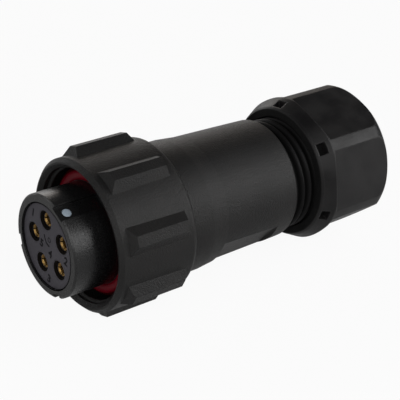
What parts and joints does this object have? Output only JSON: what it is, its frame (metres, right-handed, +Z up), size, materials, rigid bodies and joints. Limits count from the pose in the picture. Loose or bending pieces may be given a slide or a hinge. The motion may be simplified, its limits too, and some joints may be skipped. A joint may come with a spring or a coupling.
{
  "type": "inline socket connector",
  "caption": "Round inline cable connector: keyed socket face, turning ribbed coupling ring, tapered housing and screwed cable gland.",
  "frame": {"origin": "centre of the barrel's mating face, on the connector's axis", "axes": "+X along the connector's axis from the mating face to the cable gland, +Z up as it lies"},
  "size_m": [0.0716, 0.0302, 0.0302],
  "materials": {
    "black_housing": "moulded, finely textured",
    "violet_insulator": "moulded, satin",
    "gold_contact": "gold plated",
    "spring_steel": "bright",
    "red_seal": "silicone, slightly glossy",
    "grey_rubber": "dull",
    "white_plastic": "waxy, low friction"
  },
  "bodies": {
    "connector_body": {"plug_shell": "black_housing", "front_insulator": "violet_insulator", "rear_insulator": "violet_insulator", "wire_grommet": "grey_rubber", "insert_lock_ring": "black_housing", "interface_seal": "red_seal", "slip_ring": "white_plastic", "retaining_ring": "spring_steel", "rear_housing": "black_housing", "housing_gasket": "grey_rubber", "cable_seal": "grey_rubber", "socket_contact_1": "gold_contact", "contact_clip_1": "spring_steel", "socket_contact_2": "gold_contact", "contact_clip_2": "spring_steel", "socket_contact_3": "gold_contact", "contact_clip_3": "spring_steel", "socket_contact_4": "gold_contact", "contact_clip_4": "spring_steel", "socket_contact_5": "gold_contact", "contact_clip_5": "spring_steel"},
    "coupling": {"coupling_ring": "black_housing"},
    "clamp": {"clamp_cage": "black_housing", "thrust_washer": "white_plastic"},
    "nut": {"gland_nut": "black_housing"}
  },
  "joints": [
    {"name": "coupling_turn", "type": "hinge", "parent": "connector_body", "child": "coupling", "pos_m": [0.0164, 0, 0], "axis": [1, 0, 0], "continuous": true},
    {"name": "nut_travel", "type": "slide", "parent": "connector_body", "child": "clamp", "axis": [1, 0, 0], "range_m": [-0.0035, 0.00525]},
    {"name": "nut_turn", "type": "hinge", "parent": "clamp", "child": "nut", "pos_m": [0.0618, 0, 0], "axis": [1, 0, 0], "range_deg": [-719.5, 1079.5]}
  ],
  "couplings": [
    {"joint": "nut_travel", "follows": "nut_turn", "m_per_rad": 0.00027852}
  ]
}
